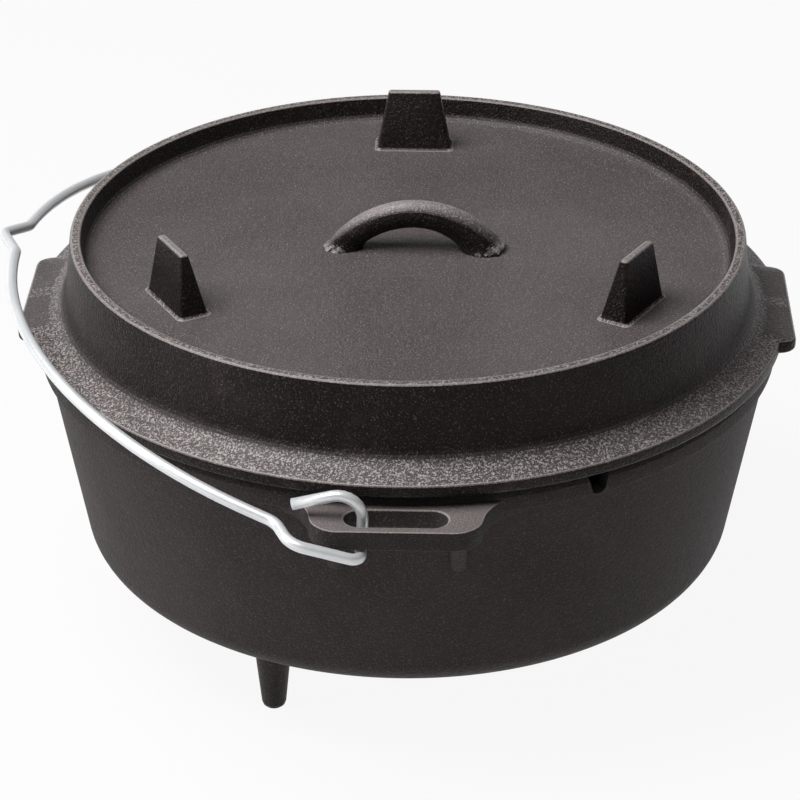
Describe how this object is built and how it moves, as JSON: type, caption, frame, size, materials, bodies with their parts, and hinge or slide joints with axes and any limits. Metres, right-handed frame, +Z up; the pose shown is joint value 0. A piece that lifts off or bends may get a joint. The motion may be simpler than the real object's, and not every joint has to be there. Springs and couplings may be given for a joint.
{
  "type": "camp dutch oven",
  "caption": "Cast iron camp pot on feet, with slotted ears, a wire bail that swings over it, and a lift-off lid with a coal rim, arch handle and legs.",
  "frame": {"origin": "on the pot's axis, in the plane of the three foot tips", "axes": "+Z up along the pot's axis, +Y through the two ears, +X through the lid's grip tabs, away from the folded bail"},
  "size_m": [0.3324, 0.3576, 0.1895],
  "materials": {
    "pot_iron": "sand cast and seasoned, satin black",
    "lid_iron": "sand cast and seasoned, satin black",
    "zinc_wire": "bright zinc plate"
  },
  "bodies": {
    "pot": {"pot": "pot_iron"},
    "lid": {"lid": "lid_iron"},
    "bail": {"bail": "zinc_wire"}
  },
  "joints": [
    {"name": "lid_lift", "type": "slide", "parent": "pot", "child": "lid", "axis": [0, 0, 1], "range_m": [0, 0.2]},
    {"name": "bail_swing", "type": "hinge", "parent": "pot", "child": "bail", "pos_m": [-0.013, 0, 0.119], "axis": [0, 1, 0], "range_deg": [0, 134]}
  ]
}
